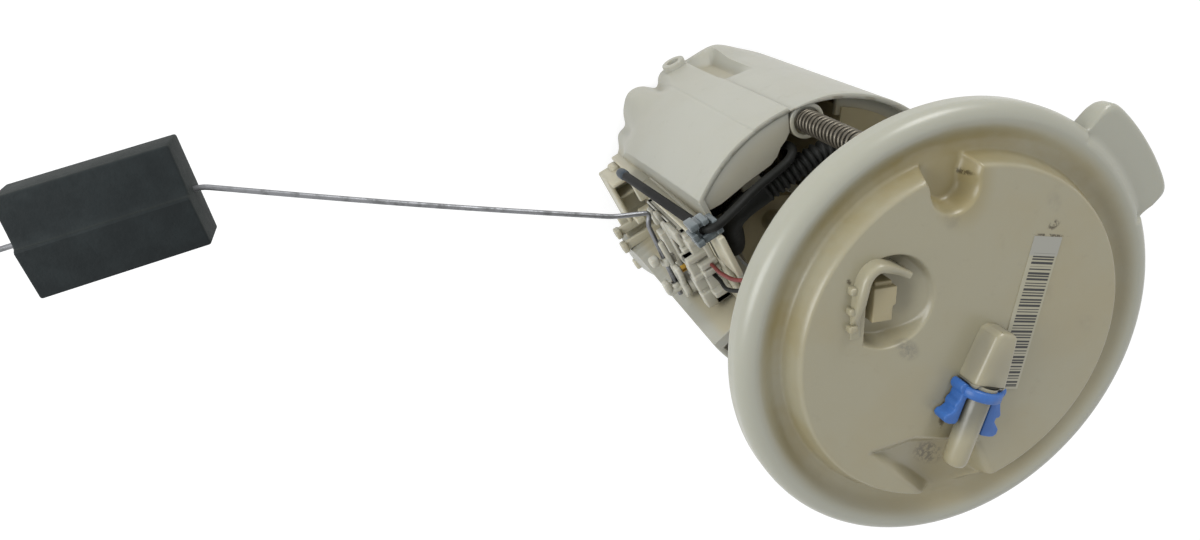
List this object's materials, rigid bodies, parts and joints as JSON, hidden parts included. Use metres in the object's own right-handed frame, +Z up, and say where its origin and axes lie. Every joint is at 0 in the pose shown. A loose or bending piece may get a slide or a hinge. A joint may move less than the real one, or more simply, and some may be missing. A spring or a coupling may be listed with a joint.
{
  "type": "in-tank fuel pump module",
  "caption": "Sprung in-tank fuel pump module: white plastic cover plate with socket and outlet, reservoir cup on guide rods, and a level sender with a long float arm.",
  "frame": {"origin": "centre of the tank seat, on the cover plate's axis", "axes": "+Z up out of the tank, -Y towards the level sender"},
  "size_m": [0.2503, 0.3414, 0.2003],
  "materials": {
    "aged_plastic": "satin",
    "white_plastic": "satin",
    "beige_plastic": "satin",
    "black_plastic": "satin",
    "blue_plastic": "satin",
    "clear_grey_plastic": "gloss",
    "label_paper": "matte",
    "filter_paper": "matte",
    "bright_steel": "satin",
    "spring_steel": "satin",
    "tinned_steel": "satin",
    "core_steel": "satin",
    "cast_aluminium": "satin",
    "ferrite": "matte",
    "bronze": "satin",
    "contact_brass": "satin",
    "carbon": "matte",
    "copper": "satin",
    "ceramic_card": "satin",
    "seal_rubber": "matte",
    "hose_rubber": "satin",
    "float_rubber": "matte",
    "red_insulation": "satin",
    "mesh_fabric": "matte"
  },
  "bodies": {
    "cover": {"flange": "aged_plastic", "seal_ring": "seal_rubber", "terminal_block": "aged_plastic", "connector_pins": "tinned_steel", "retainer_clip": "blue_plastic", "label": "label_paper", "guide_rod_left": "bright_steel", "guide_rod_right": "bright_steel", "rod_clips": "tinned_steel", "spring_left": "spring_steel", "spring_right": "spring_steel", "lower_plug": "aged_plastic", "fuel_hose": "hose_rubber", "sender_wire_red": "red_insulation", "sender_wire_black": "hose_rubber", "pump_leads": "red_insulation"},
    "reservoir": {"reservoir_cup": "white_plastic", "slide_bushes": "white_plastic", "pump_holder": "white_plastic", "filter_case": "beige_plastic", "filter_cap": "beige_plastic", "filter_element": "filter_paper", "pump_can": "bright_steel", "pump_top_cover": "black_plastic", "pump_inlet_cover": "cast_aluminium", "impeller_casing": "cast_aluminium", "magnets": "ferrite", "pump_bushes": "bronze", "brushes": "carbon", "pump_pipe": "black_plastic", "regulator_body": "tinned_steel", "regulator_spring": "spring_steel", "jet_pump": "beige_plastic", "inlet_valve": "seal_rubber", "strainer_frame": "white_plastic", "strainer_mesh": "mesh_fabric", "sender_plate": "aged_plastic", "sender_body": "aged_plastic", "resistor_card": "ceramic_card", "sender_cover": "aged_plastic", "thermistor": "black_plastic", "thermistor_sleeve": "hose_rubber", "thermistor_clip": "clear_grey_plastic", "thermistor_lead": "hose_rubber"},
    "rotor": {"armature": "core_steel", "windings": "copper", "commutator": "copper", "pump_shaft": "bright_steel", "impeller": "black_plastic"},
    "outlet_check_valve": {"check_valve": "beige_plastic"},
    "pressure_valve": {"regulator_valve": "bronze"},
    "level_arm": {"arm_holder": "aged_plastic", "wiper_contacts": "contact_brass", "float_arm": "bright_steel"},
    "level_float": {"float": "float_rubber"}
  },
  "joints": [
    {"name": "reservoir_slide", "type": "slide", "parent": "cover", "child": "reservoir", "axis": [0, 0, 1], "range_m": [0, 0.022], "stiffness_N_per_m": 400, "springref_m": -0.03, "deforming": ["spring_left", "spring_right", "fuel_hose", "sender_wire_red", "sender_wire_black", "pump_leads"]},
    {"name": "rotor_turn", "type": "hinge", "parent": "reservoir", "child": "rotor", "pos_m": [-0.0029, -0.0112, -0.12], "axis": [0, 0, 1], "continuous": true},
    {"name": "check_valve_lift", "type": "slide", "parent": "reservoir", "child": "outlet_check_valve", "axis": [0, 0, 1], "range_m": [0, 0.0015]},
    {"name": "pressure_valve_lift", "type": "slide", "parent": "reservoir", "child": "pressure_valve", "axis": [0, 0, 1], "range_m": [0, 0.0008], "stiffness_N_per_m": 2000, "springref_m": -0.002, "deforming": ["regulator_spring"]},
    {"name": "level_arm_swing", "type": "hinge", "parent": "reservoir", "child": "level_arm", "pos_m": [-0.0064, -0.057, -0.094], "axis": [0, 1, 0], "range_deg": [-33, 30]},
    {"name": "float_tilt", "type": "hinge", "parent": "level_arm", "child": "level_float", "pos_m": [-0.143, -0.1872, -0.094], "axis": [-0.2419, -0.9703, 0], "continuous": true}
  ]
}
